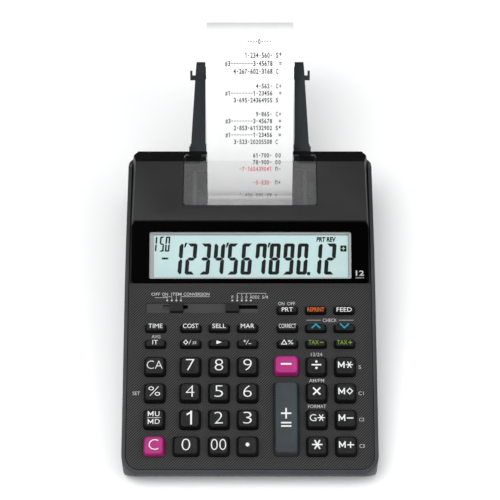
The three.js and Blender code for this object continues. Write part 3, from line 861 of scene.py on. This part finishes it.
def make_switch(node, shutter):
    """A switch knob with a ribbed top, on its stem; a shutter hides the slot where the knob has left."""
    points = panel_points(node)
    low, top = extent(points)[2]
    (left, right), (front, rear), _ = extent(p for p in points if p[2] > top - 0.1)
    x, s = (left + right) / 2, (front + rear) / 2
    width, length = right - left, rear - front
    outline = rounded_rectangle(x, s, width, length, 0.6, 4)
    inner = rounded_rectangle(x, s, width - 0.5, length - 0.5, 0.45, 4)
    form = Form()
    form.stack([(outline, -0.8), (outline, top - 0.9), (inner, top - 0.55)], PANEL.at)
    ribs = 7
    margin = 0.45
    pitch = (width - 2 * margin) / ribs
    for i in range(ribs):
        middle = left + margin + pitch * (i + 0.5)
        rib = rounded_rectangle(middle, s, pitch * 0.62, length - 0.7, 0.18, 2)
        form.prism(rib, PANEL.at, (top - 0.7, top))
    form.prism(rounded_rectangle(x, STEM_S, 4.2, 1.7, 0.3, 2), PANEL.at, (low, -0.7))
    if shutter:
        left, right, front, rear = x - 17, x + 4, SLOT_ROW[0] - 0.35, SLOT_ROW[1] + 0.45
        form.prism([(left, front), (right, front), (right, rear), (left, rear)], PANEL.at, (-2.75, -2.5), 1)
    form.piece(node + "_knob", [SWITCH, TROUGH], node, bevel=0.08, node=node)


def make_panel_print():
    """The small words, leader lines and marks printed on the key panel."""
    words = [
        ("OFF", -62.0, 119.9, 5.8), ("ON", -55.9, 119.9, 3.8), ("ITEM", -48.4, 119.9, 6.6),
        ("CONVERSION", -35.2, 119.9, 17.0),
        ("F", -11.5, 117.9, 1.2), ("3", -8.4, 117.9, 1.2), ("2", -5.4, 117.9, 1.2),
        ("0", -2.4, 117.9, 1.3), ("ADD2", 3.0, 117.9, 6.3), ("5/4", 9.9, 117.9, 3.9),
        ("ON", 20.6, 113.4, 4.0), ("OFF", 27.0, 113.4, 5.2), ("CHECK", 52.3, 102.0, 9.2),
        ("12/24", 43.4, 78.8, 7.4), ("AM/PM", 43.2, 61.3, 9.8), ("FORMAT", 43.3, 44.1, 11.6),
        ("S", 71.4, 70.3, 1.7), ("C1", 71.9, 52.8, 3.4), ("C2", 71.9, 35.4, 3.4), ("C3", 71.9, 18.0, 3.4),
        ("SET", -73.6, 52.8, 4.8), ("AVG", -61.4, 90.9, 5.6),
    ]
    leaders = [
        [(-62.4, 117.5), (-54.4, 117.5), (-54.4, 116.6)],
        [(-57.2, 118.1), (-51.4, 118.1), (-51.4, 116.6)],
        [(-48.4, 118.3), (-48.4, 116.6)],
        [(-26.5, 118.2), (-45.4, 118.2), (-45.4, 116.6)],
        [(-8.4, 119.3), (-8.4, 120.5), (10.4, 120.5), (10.4, 119.3)],
        [(-5.4, 120.5), (-5.4, 119.3)], [(-2.4, 120.5), (-2.4, 119.3)], [(0.5, 120.5), (0.5, 119.3)],
        [(37.1, 102.1), (46.4, 102.1)], [(58.3, 102.1), (67.7, 102.1)],
    ]
    stops = (-54.4, -51.4, -48.4, -45.4, -11.6, -8.4, -5.4, -2.4, 0.5)
    form = Form()
    for text, x, s, width in words:
        form.write(text, x, s, 2.25 if s < 115 else 2.0, width, PANEL.at, PRINT, bold=0.004)
    for points in leaders:
        form.stroke(points, 0.26, PANEL.at, PRINT)
    for x in stops:
        form.prism(circle(x, 115.6, 0.62, 14), PANEL.at, PRINT)
    form.piece("panel_print", [GREY_INK], "case")


def make_switch_shield():
    """Black plate that closes the view into the case through the switches' slots: painted shadow in place of
    the case's dark inside.
    """
    low = extent(panel_points("slide_switch_left"))[2][0]
    form = Form()
    form.prism(rounded_rectangle(-28, 112.2, 84, 5.4, 0.4, 2), PANEL.at, (low - 0.6, low - 0.15))
    form.piece("switch_shield", [SHADOW_BLACK], "case")


make_trough()
make_key_wells()
make_switch_shield()
make_switch("slide_switch_left", shutter=True)
make_switch("slide_switch_right", shutter=False)
make_panel_print()


# ---- display ----
# Left, right, front and rear edges on the display's slope.
WINDOW = (-78.2, 78.2, 0.1, DISPLAY_LENGTH)
OPENING = (-66.5, 66.9, 3.0, 34.4)
VISIBLE_GLASS = (-63.6, 64.9, 4.2, 32.5)
GLASS = (-66.2, 66.5, 3.3, 34.1)
BACKING = (-69.9, 69.9, 5.5, 35.5)
LCD_FACE = -3.5                 # liquid-crystal glass, below the window's surface
LCD_LEAN = 0.075
SEGMENT = (LCD_FACE, LCD_FACE + 0.05)       # levels of the segments, and of the print on the window
ON_WINDOW = (-0.01, 0.03)
# Pitch, width, height, and thickness of the level and upright bars, of the large and the small digits.
LARGE_DIGITS = (9.22, 7.1, 20.9, 2.15, 2.6)
SMALL_DIGITS = (0, 3.0, 10.1, 0.95, 1.05)
FIRST_DIGIT = -52.6
SEGMENTS = {
    "0": "abcdef", "1": "bc", "2": "abged", "3": "abgcd", "4": "fgbc", "5": "afgcd",
    "6": "afgecd", "7": "fabc", "8": "abcdefg", "9": "abcdfg",
}


def make_window():
    """Gloss-black window plate, clear over the liquid crystal."""
    outer = rectangle_of(*WINDOW, 2.6)
    rim = rectangle_of(*WINDOW, 2.4, -0.35)
    hole = rectangle_of(*OPENING, 1.0)
    form = Form()
    sections = [(outer, -1.95), (outer, -0.35), (rim, 0.0), (hole, 0.0), (hole, -1.95)]
    form.stack(sections, DISPLAY.at, loop=True)
    form.prism(rectangle_of(*OPENING, 1.0, -0.01), DISPLAY.at, (-1.9, -0.01), 1)
    form.piece("display_front", [GLOSS_BLACK, CLEAR], "case", node="display_window")


def digit_segments(width, height, across, upright):
    """Outlines of the seven bars of one digit: pointed ends, thin gaps between bars."""
    gap = upright * 0.06
    half = height / 2
    nip = across / 2
    near, far = upright * 0.35 + gap, upright * 0.8 + gap

    def end_bar(y, inward):
        return [(upright * 0.3, y), (width - upright * 0.3, y),
                (width - upright * 1.05, y + inward), (upright * 1.05, y + inward)]

    def side_bar(x, y0, y1, inward):
        edge = x + inward
        tip = x + inward * 0.45
        return [(x, y0 + across * 0.35), (x, y1 - across * 0.35), (tip, y1),
                (edge, y1 - across * 0.75), (edge, y0 + across * 0.75), (tip, y0)]

    return {
        "a": end_bar(height, -across),
        "d": end_bar(0, across),
        "g": [(near, half), (far, half + nip), (width - far, half + nip),
              (width - near, half), (width - far, half - nip), (far, half - nip)],
        "f": side_bar(0, half + gap, height - gap, upright),
        "e": side_bar(0, gap, half - gap, upright),
        "b": side_bar(width, half + gap, height - gap, -upright),
        "c": side_bar(width, gap, half - gap, -upright),
    }


def write_digits(form, text, left, bottom, pitch, *sizes):
    bars = digit_segments(*sizes)
    for i, figure in enumerate(text):
        for segment in SEGMENTS[figure]:
            outline = [(left + i * pitch + a + LCD_LEAN * b, bottom + b) for a, b in bars[segment]]
            form.prism(outline, DISPLAY.at, SEGMENT, 1)


def make_lcd():
    """Liquid-crystal glass with its dark segments, on the backing plate."""
    form = Form()
    form.prism(rectangle_of(*GLASS, 0.4), DISPLAY.at, (-4.58, LCD_FACE))
    form.prism(rectangle_of(*BACKING, 0.6), DISPLAY.at, (-7.3, -4.6))
    write_digits(form, "123456789012", FIRST_DIGIT, 6.2, *LARGE_DIGITS)
    for figure, left in (("1", -65.1), ("5", -60.3), ("0", -56.5)):
        write_digits(form, figure, left, 21.6, *SMALL_DIGITS)
    marks = [
        filled([(-58.7, 17.0), (-58.0, 17.65), (-54.6, 17.65), (-53.8, 17.0), (-54.6, 16.35),
                (-58.0, 16.35)]),
        dot(38.8, 6.9, 1.2),
        filled(rounded_rectangle(61.9, 23.7, 4.1, 4.1, 0.6)),
    ]
    for digit in (1, 4, 7):
        x = FIRST_DIGIT + 0.3 + LARGE_DIGITS[0] * digit
        marks.append(filled([(x - 0.7, 24.4), (x + 0.25, 24.4), (x + 1.6, 27.6), (x + 0.1, 27.6)]))
    draw_marks(form, marks, DISPLAY.at, SEGMENT, 1)
    form.write("PRT REV", 50.5, 29.8, 2.9, 12.6, DISPLAY.at, SEGMENT, 1, 0.045, 0.1)
    draw_marks(form, plus(61.9, 23.7, 0.9, 0.9, 0.5), DISPLAY.at, (LCD_FACE + 0.04, LCD_FACE + 0.09), 0)
    form.piece("lcd_glass_unit", [LCD_GREY, LCD_INK], "case", node="lcd_panel")


def make_lcd_frame():
    """Silver frame that slopes from the window down to the glass."""
    outer = rectangle_of(*OPENING, 1.2, 0.1)
    step = rectangle_of(*OPENING, 0.9, -1.2)
    inner = rectangle_of(*VISIBLE_GLASS, 0.3)
    foot = LCD_FACE + 0.02
    form = Form()
    sections = [(outer, -2.0), (step, -2.25), (inner, foot + 0.04), (inner, foot), (outer, foot)]
    form.stack(sections, DISPLAY.at, loop=True)
    form.piece("lcd_frame", [SILVER], "case")


def make_window_print():
    form = Form()
    form.write("12", 72.5, 6.7, 3.2, 5.4, DISPLAY.at, ON_WINDOW)
    form.write("DIGITS", 72.4, 3.6, 0.95, 5.4, DISPLAY.at, ON_WINDOW, bold=0.0)
    form.piece("window_print", [GREY_INK], "case")


make_window()
make_lcd()
make_lcd_frame()
make_window_print()


# ---- cover and cutter ----
TOP_RUN = (Vector(CREST) - Vector(COVER_FRONT)).length
SCREEN_THICK = 2.0
SCREEN_STATIONS = [11.6, 13.6, 16, 22, 28, 34, 40] + [TOP_RUN + past for past in (0, 3, 8, 14, 16.9)]
SCREEN_COLUMNS = [-44.4, -42.4, -33.0, 33.0, 42.4, 44.4]
SLOT_COLUMN = 2                 # the paper comes out between these columns, behind the crest
TEETH = 46
TEETH_HALF = 31.0


def skin_point(distance):
    """(y, z, normal y, normal z) on the cover's outer surface, distance behind the cover's front."""
    on_top = distance <= TOP_RUN
    start, end = (COVER_FRONT, CREST) if on_top else (CREST, COVER_REAR)
    step = (Vector(end) - Vector(start)).normalized()
    spot = Vector(start) + step * (distance if on_top else distance - TOP_RUN)
    return spot.x, spot.y, -step.y, step.x


def make_cutter_window():
    """Smoked clear window over the printer, open behind the crest where the paper comes out."""
    work = bmesh.new()
    grid = {}
    for i, distance in enumerate(SCREEN_STATIONS):
        y, z, ny, nz = skin_point(distance)
        if distance == TOP_RUN:
            ny, nz = 0.3, 0.92
        for j, x in enumerate(SCREEN_COLUMNS):
            for level in (0, 1):
                down = SCREEN_THICK * level
                grid[level, i, j] = work.verts.new(place(x, y - ny * down, z - nz * down))
    crest = SCREEN_STATIONS.index(TOP_RUN)
    last = len(SCREEN_STATIONS) - 1
    cells = {(i, j) for i in range(last) for j in range(len(SCREEN_COLUMNS) - 1)}
    cells -= {(i, SLOT_COLUMN) for i in range(crest, last - 1)}
    for i, j in sorted(cells):
        corners = [(i, j), (i, j + 1), (i + 1, j + 1), (i + 1, j)]
        for level in (0, 1):
            face = work.faces.new([grid[level, a, b] for a, b in corners])
            # faces behind the crest take the near-black copy: painted shade on the rear slope
            face.material_index = 1 if i >= crest else 0
        beyond = [(i - 1, j), (i, j + 1), (i + 1, j), (i, j - 1)]
        for near, far, neighbour in zip(corners, corners[1:] + corners[:1], beyond):
            if neighbour not in cells:
                work.faces.new([grid[0, *near], grid[0, *far], grid[1, *far], grid[1, *near]])
    bmesh.ops.recalc_face_normals(work, faces=work.faces)
    sides = (0, len(SCREEN_COLUMNS) - 1)
    front_corners = [work.edges.get((grid[0, 0, j], grid[1, 0, j])) for j in sides]
    bmesh.ops.bevel(work, geom=front_corners, offset=1.9 * MM, segments=5, affect="EDGES", profile=0.5)
    order = {v: i for i, v in enumerate(work.verts)}
    form = Form()
    form.add([v.co for v in work.verts], [[order[v] for v in f.verts] for f in work.faces])
    form.materials = [f.material_index for f in work.faces]
    work.free()
    form.piece("cutter_screen", [SMOKED, SMOKED_SHADED], "printer_cover", smooth=30,
               bevel=0.3, node="cutter_window")


def make_cutter_edge():
    """The fine teeth that the paper is torn against, along the crest."""
    y, z = CREST[0] + 0.05, CREST[1] - 0.35
    pitch = 2 * TEETH_HALF / TEETH
    form = Form()
    for i in range(TEETH):
        x = -TEETH_HALF + pitch * i
        tooth = [(x, 0), (x + pitch, 0), (x + pitch / 2, 0.95)]
        form.prism(tooth, lambda a, b, c: place(a, y + b, z - 0.4 * b + c), (-0.45, 0.1))
    form.piece("cutter_teeth", [SMOKED], "printer_cover")


def make_paper_shade_band():
    """A faint haze sheet under the front of the window, over the paper: painted shade where the paper goes
    down into the printer bay.
    """
    corners = []
    for distance, depths in ((12.4, (2.1, 2.5)), (19.6, (2.5, 2.1))):
        y, z, ny, nz = skin_point(distance)
        corners += [(y - ny * depth, z - nz * depth) for depth in depths]
    form = Form()
    form.loft([[place(x, *corner) for corner in corners] for x in (-28.2, 28.2)])
    form.piece("paper_shade_band", [PAPER_SHADE_HAZE], "printer_cover")


make_cutter_window()
make_cutter_edge()
make_paper_shade_band()

# ---- paper ----
# The strip from the inlet, under the feed roller, up past the crest and over its curl: (y, z).
STRIP_PATH = [
    (215.0, 35.6), (210.5, 31.6), (207.0, 29.9), (203.6, 29.3), (200.4, 30.7), (198.6, 33.2), (198.2, 36.2),
    (199.4, 42.0), (203.2, 50.4), (207.2, 58.8), (210.8, 66.5), (214.6, 75.0), (218.8, 84.0), (223.0, 93.2),
    (227.2, 102.6), (231.4, 112.0), (235.8, 121.2), (241.0, 129.6), (248.0, 136.0), (256.6, 138.8),
    (265.4, 137.2), (273.0, 132.0), (280.0, 124.4), (287.0, 115.0), (294.0, 104.0), (300.4, 92.4),
    (306.0, 80.6), (310.2, 69.4), (312.8, 58.4),
]
WEB_PATH = [
    (216.2, 36.6), (220.5, 38.6), (226.0, 40.4), (236.0, 43.6), (248.0, 50.0), (260.0, 58.0), (272.6, 66.8),
]
# Row number, figures, sign in the two sign columns, and whether the row is red.
PRINTED_LINES = [
    (0, "1.436.585.09", "+ ", False), (2, "-5.830.", "M+", True), (4, "-7.165439041", "M-", True),
    (5, "78.900.", "00", False), (6, "61.700.", "00", False), (8, "3.523.20205508", "C ", False),
    (9, "#1--------1.23456", " =", False), (10, "2.853.61132902", "S*", False),
    (11, "#3--------3.45678", " =", False), (12, "9.865.", "C+", False), (14, "3.695.24364955", "S ", False),
    (15, "#1--------1.23456", " =", False), (16, "4.562.", "C+", False), (18, "4.267.602.3168", "C ", False),
    (19, "#3--------3.45678", " =", False), (20, "1.234.560.", "S*", False),
]
FIRST_LINE = 25.6               # along the strip
LINE_PITCH = 5.36
CURLED_FROM = 18                # rows on the curl lie in thicker ink, clear of its bend
TOP_ROW = 21.7                  # the row of points with a nought in the middle
POINT_PITCH = 1.8
CHARACTER = 1.84                # pitch of printed characters
LAST_FIGURE = 13.9
SIGN_COLUMNS = (17.8, 19.9)
FIGURE_SIZE = (3.3, 1.5)        # height and width
PRINT_STROKES = {
    "-": [minus(0, 0, 0.46, 0.46)],
    "1": [bar(0.1, -1.6, 0.1, 1.6, 0.46), bar(-0.5, 0.9, 0, 1.5, 0.42)],
    "M": [bar(side * 0.6, low, side * top, 1.6, 0.34)
          for low, top in ((-1.6, 0.6), (0.2, 0)) for side in (-1, 1)],
    ".": [filled(circle(0, 0, 0.42, 8))],
    " ": [],
}


def smooth_path(points, per_span=8):
    """Points on a Catmull-Rom curve through the given (y, z) points."""
    padded = [points[0], *points, points[-1]]
    made = []
    for i in range(len(points) - 1):
        p0, p1, p2, p3 = (Vector(p) for p in padded[i:i + 4])
        for k in range(per_span):
            t = k / per_span
            made.append(0.5 * (2 * p1 + (p2 - p0) * t + (2 * p0 - 5 * p1 + 4 * p2 - p3) * t * t
                               + (3 * p1 - p0 - 3 * p2 + p3) * t ** 3))
    made.append(Vector(points[-1]))
    return made


class Ribbon:
    """A bent strip: reads a distance along its curve as a place in space."""

    def __init__(self, points):
        self.points = points
        self.lengths = [0.0]
        for a, b in zip(points, points[1:]):
            self.lengths.append(self.lengths[-1] + (b - a).length)

    def normal(self, i):
        before = self.points[max(i - 1, 0)]
        after = self.points[min(i + 1, len(self.points) - 1)]
        step = (after - before).normalized()
        return Vector((-step.y, step.x))

    def surface(self, x, along, out):
        along = min(max(along, 0.0), self.lengths[-1])
        i = 0
        while i < len(self.points) - 2 and self.lengths[i + 1] < along:
            i += 1
        share = (along - self.lengths[i]) / (self.lengths[i + 1] - self.lengths[i])
        spot = self.points[i].lerp(self.points[i + 1], share)
        normal = self.normal(i).lerp(self.normal(i + 1), share).normalized()
        return place(x, spot.x + normal.x * out, spot.y + normal.y * out)

    def sheet(self, form, width, thick, columns):
        """Adds a thin closed sheet that follows the ribbon."""
        across = [width * (k / columns - 0.5) for k in range(columns + 1)]
        outline = [(x, thick / 2) for x in across] + [(x, -thick / 2) for x in reversed(across)]
        form.loft([[self.surface(x, along, out) for x, out in outline] for along in self.lengths])


STRIP = Ribbon(smooth_path(STRIP_PATH))
WEB = Ribbon(smooth_path(WEB_PATH))


def print_character(form, letter, x, along, levels, shade):
    if letter in PRINT_STROKES:
        draw_marks(form, PRINT_STROKES[letter], shifted(STRIP.surface, x, along), levels, shade)
    else:
        form.write(letter, x, along, *FIGURE_SIZE, STRIP.surface, levels, shade)


def make_strip():
    """The printed strip, with its figures lying on it."""
    form = Form()
    STRIP.sheet(form, PAPER_WIDTH, PAPER_THICK, 10)
    top = PAPER_THICK / 2
    for row, figures, sign, red in PRINTED_LINES:
        along = FIRST_LINE + LINE_PITCH * row
        levels = (top - 0.02, top + (0.03 if row < CURLED_FROM else 0.11))
        for i, letter in enumerate(reversed(figures)):
            print_character(form, letter, LAST_FIGURE - CHARACTER * i, along, levels, 2 if red else 1)
        for x, letter in zip(SIGN_COLUMNS, sign):
            print_character(form, letter, x, along, levels, 1)
    along = FIRST_LINE + LINE_PITCH * TOP_ROW
    for i, letter in enumerate("....0...."):
        print_character(form, letter, 6.1 + POINT_PITCH * (i - 4), along, (top - 0.02, top + 0.13), 1)
    form.piece("printed_strip", [PAPER, BLACK_INK, RED_INK], "case", node="paper_strip")


def make_roll():
    """The paper roll: wound layers show as fine steps on its sides, around a cardboard core."""
    turn = math.radians(ARM_ANGLE)
    centre = (ARM_PIVOT[0] + ROLL_DISTANCE * math.cos(turn), ARM_PIVOT[1] + ROLL_DISTANCE * math.sin(turn))
    half = PAPER_WIDTH / 2
    inside = 7.4
    layers = 16
    pitch = (ROLL_RADIUS - 0.1 - inside) / layers
    side = [(inside + pitch * i, half - 0.02 - (0.14 if i % 2 else 0.0)) for i in range(layers + 1)]
    side.insert(0, (inside - 0.05, half - 0.2))
    form = Form()
    form.lathe([(r, -h) for r, h in side] + side[::-1], along_x(*centre), 0, 72, loop=True)
    end = half + 0.15
    form.lathe([(6.2, -end), (7.3, -end), (7.3, end), (6.2, end)], along_x(*centre), 1, 48, loop=True)
    form.piece("wound_roll", [PAPER, CARDBOARD], "paper_roll", node="paper_roll")


def make_web():
    """The unprinted web from the underside of the roll down to the paper inlet."""
    form = Form()
    WEB.sheet(form, PAPER_WIDTH - 1.2, 0.12, 6)
    made = form.piece("paper_web", [PAPER], smooth=180)
    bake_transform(made)


make_strip()
make_roll()
make_web()

# ---- inside and underneath ----
CELL_PITCH = 14.6
CELL_LENGTH = 51.4
FEET = [(-64, 24, "front", "left"), (-64, 200, "rear", "left"), (64, 24, "front", "right"),
        (64, 200, "rear", "right")]
SCREW_DISTANCE = 14             # from a foot towards the machine's middle


def make_key_mat():
    """Rubber sheet over the circuit board with a dome under each key."""
    form = Form()
    form.prism(rounded_rectangle(0, 60.5, 147, 104, 2, 3), PANEL.at, (-7.75, -7.1))
    for key in KEYS:
        low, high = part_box(key)
        x, s, _ = PANEL.read((low + high) / 2)
        form.lathe([(2.9, -7.15), (2.6, -6.9), (1.9, -6.2)], shifted(PANEL.at, x, s), 0, 16)
    form.piece("key_mat", [MAT_RUBBER], "case")


def make_cells():
    """Four AA cells, side by side with every other one turned round."""
    wrap = [(0.5, 0), (6.6, 0), (7.0, 0.3), (7.0, 40)]
    band = [(7.0, 40), (7.0, 49.3), (6.2, 49.65)]
    tip = [(6.1, 49.6), (2.7, 49.8), (2.6, 51.2), (0.5, 51.3)]
    for i in range(4):
        x = CELL_PITCH * (i - 1.5)

        def axis(a, b, c):
            return place(x + a, 67.2 + (CELL_LENGTH - c if i % 2 else c), 12.0 + b)

        form = Form()
        for material, profile in enumerate((tip, wrap, band)):
            form.lathe(profile, axis, material)
        form.piece("cell_%d" % (i + 1), [CELL_METAL, CELL_WRAP, CELL_BAND], "case")


def make_feet():
    """A soft rubber ring on each moulded foot, and a cross-head screw beside it."""
    for x, y, end, side in FEET:
        form = Form()
        ring = [(6.45, 0.1), (6.9, 0.05), (7.2, 0.6), (7.0, 2.6), (6.45, 2.9)]
        form.lathe(ring, shifted(place, x, y), loop=True)
        form.piece("foot_ring_%s_%s" % (end, side), [RUBBER], "case")
        inward = SCREW_DISTANCE if end == "front" else -SCREW_DISTANCE
        seat = shifted(place, x, y + inward)
        screw = Form()
        screw.lathe([(0.6, 2.95), (2.3, 2.95), (2.9, 3.25), (2.9, 3.6)], seat, 0, 28)
        draw_marks(screw, plus(0, 0, 1.4, 1.4, 0.55), seat, (2.9, 3.0), 1)
        screw.piece("case_screw_%s_%s" % (end, side), [STEEL, RUBBER], "case")


def make_power_socket():
    """The round socket for a mains adaptor, set in the rear wall: barrel and centre pin."""

    def axis(a, b, c):
        return place(60 + a, COVER_REAR[0] - c, 22 + b)

    form = Form()
    form.lathe([(2.45, 0.3), (2.7, 0.1), (4.4, 0.1), (4.4, 8.5), (2.45, 8.0)], axis, loop=True)
    form.lathe([(0.3, 1.2), (0.8, 1.5), (0.8, 8.4)], axis, 1, 20)
    form.lathe([(4.35, 8.1), (4.35, 9.2)], axis)
    form.piece("power_socket", [SWITCH, STEEL], "case")


def make_carriage():
    """The carriage's shaft, and the print head parked at its left end."""
    shaft = Form()
    shaft.lathe([(1.2, -38), (1.4, -37.8), (1.4, 37.8), (1.2, 38)], along_x(184.5, 38.5), 0, 20)
    shaft.piece("carriage_shaft", [STEEL], "case")
    head = Form()
    head.prism(rounded_rectangle(187.6, 41.4, 8.0, 10.0, 1.5, 4), along_x(0, 0), (-37.6, -29.6))
    for i in range(3):
        start = -37.2 + 2.6 * i
        wheel = [(4.4, start), (4.8, start + 0.3), (4.8, start + 1.5), (4.4, start + 1.8)]
        head.lathe(wheel, along_x(188.6, 43.6), 1, 20)
    head.piece("print_head", [SWITCH, RUBBER], "case", bevel=0.3)


def make_motor():
    profile = [(2.0, -64.6), (7.6, -64.4), (8.0, -64.0), (8.0, -43.6), (7.4, -43.2), (1.0, -43.0),
               (1.0, -39.4)]
    motor = Form()
    motor.lathe(profile, along_x(186.0, 36.0), 0, 36)
    motor.piece("printer_motor", [STEEL], "case")


def make_gears():
    """The gear train at the printer's right side; the first gear turns with the feed roller."""
    gears = [("feed_roller", 204.0, 35.4, 6.0), ("case", 194.2, 29.8, 4.8), ("case", 186.2, 36.0, 4.4)]
    for number, (body, y, z, radius) in enumerate(gears):
        corners = int(radius * 4) * 4       # four to a tooth
        outline = []
        for i in range(corners):
            reach = radius if i % 4 in (0, 1) else radius - 0.8
            turn = 2 * math.pi * i / corners
            outline.append((reach * math.cos(turn), reach * math.sin(turn)))
        gear = Form()
        gear.prism(outline, along_x(y, z), (39.6 + 0.1 * number, 42.4 + 0.1 * number))
        gear.lathe([(1.6, 38.9), (1.6, 43.0)], along_x(y, z), 0, 20)
        gear.piece("printer_gear_%d" % (number + 1), [MECHANISM], body)


make_key_mat()
make_cells()
make_feet()
make_power_socket()
make_carriage()
make_motor()
make_gears()

boxes = {"cad": cad_box, "visual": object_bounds()}
{name: [list(corner) for corner in box] for name, box in boxes.items()}
